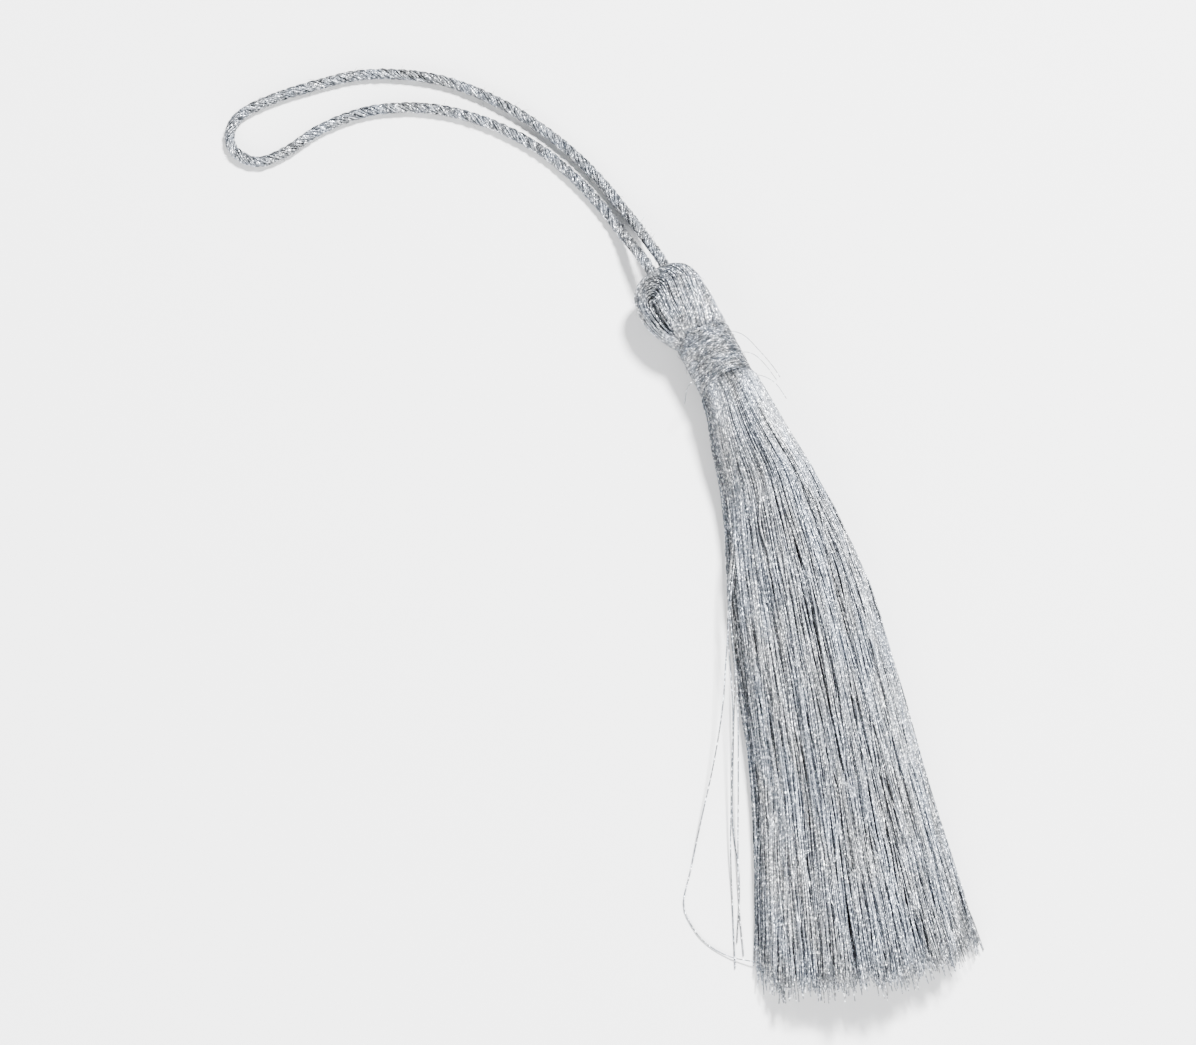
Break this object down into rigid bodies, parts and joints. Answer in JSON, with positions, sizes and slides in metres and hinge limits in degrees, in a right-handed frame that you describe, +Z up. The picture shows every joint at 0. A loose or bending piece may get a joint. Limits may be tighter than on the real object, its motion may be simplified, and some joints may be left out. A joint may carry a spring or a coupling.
{
  "type": "silk tassel",
  "caption": "Tassel lying flat: metallic yarn folded to a domed head, a wound neck binding, a fanned skirt of cut threads and a twisted hanging loop.",
  "frame": {"origin": "middle of the tassel's own box, without its hanging loop, on the surface that it lies on", "axes": "+Y from the skirt's cut end towards the crown, +Z up from the surface, +X across the skirt"},
  "size_m": [0.0644, 0.1241, 0.0075],
  "materials": {
    "yarn": "silver metallic thread, sparkling",
    "binding_thread": "wound silver metallic thread",
    "twisted_cord": "two-ply twisted silver metallic cord"
  },
  "bodies": {
    "root": {"yarn_hank": "yarn", "neck_binding": "binding_thread", "hanging_loop": "twisted_cord"}
  },
  "joints": []
}
